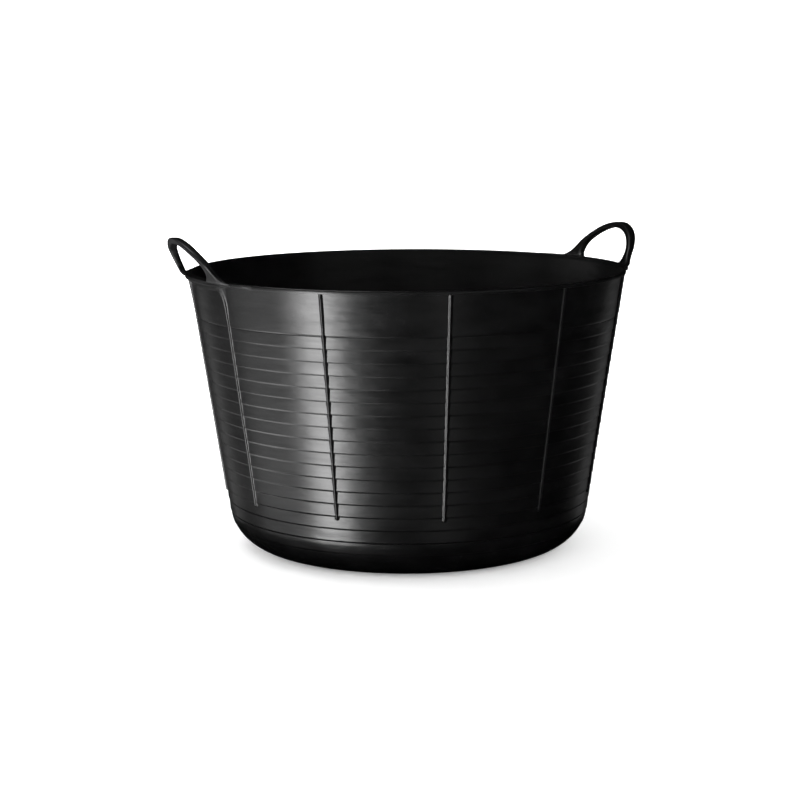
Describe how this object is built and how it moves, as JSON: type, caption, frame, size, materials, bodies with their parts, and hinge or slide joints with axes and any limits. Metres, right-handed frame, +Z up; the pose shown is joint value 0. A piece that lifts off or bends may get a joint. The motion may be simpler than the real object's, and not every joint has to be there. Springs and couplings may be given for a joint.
{
  "type": "flexible mortar mixing tub",
  "caption": "Round tapered flexible tub with a ringed and ribbed wall, a rounded base edge and two springy loop handles on the rim.",
  "frame": {"origin": "centre of the surface that the tub stands on", "axes": "+Z up through the open top, +X through the middle of the right handle, -X through the middle of the left handle"},
  "size_m": [0.646, 0.5712, 0.4167],
  "materials": {
    "tub_plastic": "satin moulded polyethylene with a soft sheen",
    "rim_plastic": "satin moulded polyethylene, slightly polished by handling",
    "handle_plastic": "satin moulded polyethylene"
  },
  "bodies": {
    "tub": {"floor_panel": "tub_plastic", "foot_ring": "tub_plastic", "edge_turn": "tub_plastic", "base_corner": "tub_plastic", "lowest_band": "tub_plastic", "side_wall": "tub_plastic", "upper_band": "tub_plastic", "rim_lip": "rim_plastic", "left_front_flank_rib": "tub_plastic", "left_back_flank_rib": "tub_plastic", "right_front_flank_rib": "tub_plastic", "right_back_flank_rib": "tub_plastic", "front_rib_1": "tub_plastic", "front_rib_2": "tub_plastic", "front_rib_3": "tub_plastic", "front_rib_4": "tub_plastic", "back_rib_1": "tub_plastic", "back_rib_2": "tub_plastic", "back_rib_3": "tub_plastic", "back_rib_4": "tub_plastic", "left_root_bar": "rim_plastic", "right_root_bar": "rim_plastic", "left_front_foot": "handle_plastic", "left_back_foot": "handle_plastic", "right_front_foot": "handle_plastic", "right_back_foot": "handle_plastic"},
    "handle_left": {"left_loop": "handle_plastic"},
    "handle_right": {"right_loop": "handle_plastic"}
  },
  "joints": [
    {"name": "left_handle_flex", "type": "hinge", "parent": "tub", "child": "handle_left", "pos_m": [-0.28764, 0, 0.371], "axis": [0, 1, 0], "range_deg": [-20, 60], "stiffness_Nm_per_rad": 3},
    {"name": "right_handle_flex", "type": "hinge", "parent": "tub", "child": "handle_right", "pos_m": [0.28825, 0, 0.371], "axis": [0, -1, 0], "range_deg": [-20, 60], "stiffness_Nm_per_rad": 3}
  ]
}
